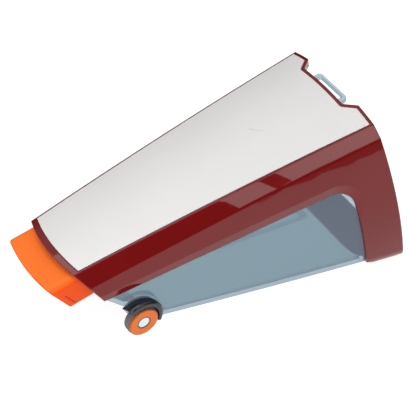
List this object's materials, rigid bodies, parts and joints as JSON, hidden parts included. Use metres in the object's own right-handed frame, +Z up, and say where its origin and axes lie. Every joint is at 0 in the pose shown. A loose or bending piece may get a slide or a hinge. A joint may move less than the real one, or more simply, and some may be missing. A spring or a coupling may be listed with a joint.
{
  "type": "dust container",
  "caption": "Wedge-shaped clear dust container of a handheld vacuum cleaner, with a red cover, pale top panel, slide-out flat nozzle, front wheels and an open rear end.",
  "frame": {"origin": "on the table, under the middle of the whole part", "axes": "+X towards the open rear end, +Y to the right-hand side as used, +Z up"},
  "size_m": [0.2344, 0.127, 0.1064],
  "materials": {
    "clear_smoked": "smoked clear",
    "red_shell": "polished",
    "pale_panel": "satin",
    "orange_plastic": "satin",
    "dark_plastic": "polished",
    "tread_rubber": "matte",
    "hub_pale": "polished",
    "seal_rubber": "matte",
    "steel": "turned"
  },
  "bodies": {
    "container": {"dust_tub": "clear_smoked", "cover_shell": "red_shell", "top_panel": "pale_panel", "inlet_duct": "clear_smoked", "nozzle_seal": "seal_rubber", "flap_pin": "steel", "rim_seal": "seal_rubber", "left_wheel_carrier": "dark_plastic", "right_wheel_carrier": "dark_plastic", "left_axle": "steel", "right_axle": "steel"},
    "nozzle": {"slide_nozzle": "orange_plastic"},
    "left_wheel": {"left_wheel_disc": "orange_plastic", "left_tyre": "tread_rubber", "left_hub_cap": "hub_pale"},
    "right_wheel": {"right_wheel_disc": "orange_plastic", "right_tyre": "tread_rubber", "right_hub_cap": "hub_pale"},
    "flap": {"inlet_flap": "seal_rubber"}
  },
  "joints": [
    {"name": "nozzle_slide", "type": "slide", "parent": "container", "child": "nozzle", "axis": [-0.9593, 0, -0.2823], "range_m": [0, 0.04]},
    {"name": "left_wheel_spin", "type": "hinge", "parent": "container", "child": "left_wheel", "pos_m": [-0.06319, -0.0418, 0.01], "axis": [0, 1, 0], "continuous": true},
    {"name": "right_wheel_spin", "type": "hinge", "parent": "container", "child": "right_wheel", "pos_m": [-0.06319, 0.0418, 0.01], "axis": [0, 1, 0], "continuous": true},
    {"name": "flap_swing", "type": "hinge", "parent": "container", "child": "flap", "pos_m": [-0.02445, 0, 0.06157], "axis": [0, -1, 0], "range_deg": [0, 60]}
  ]
}
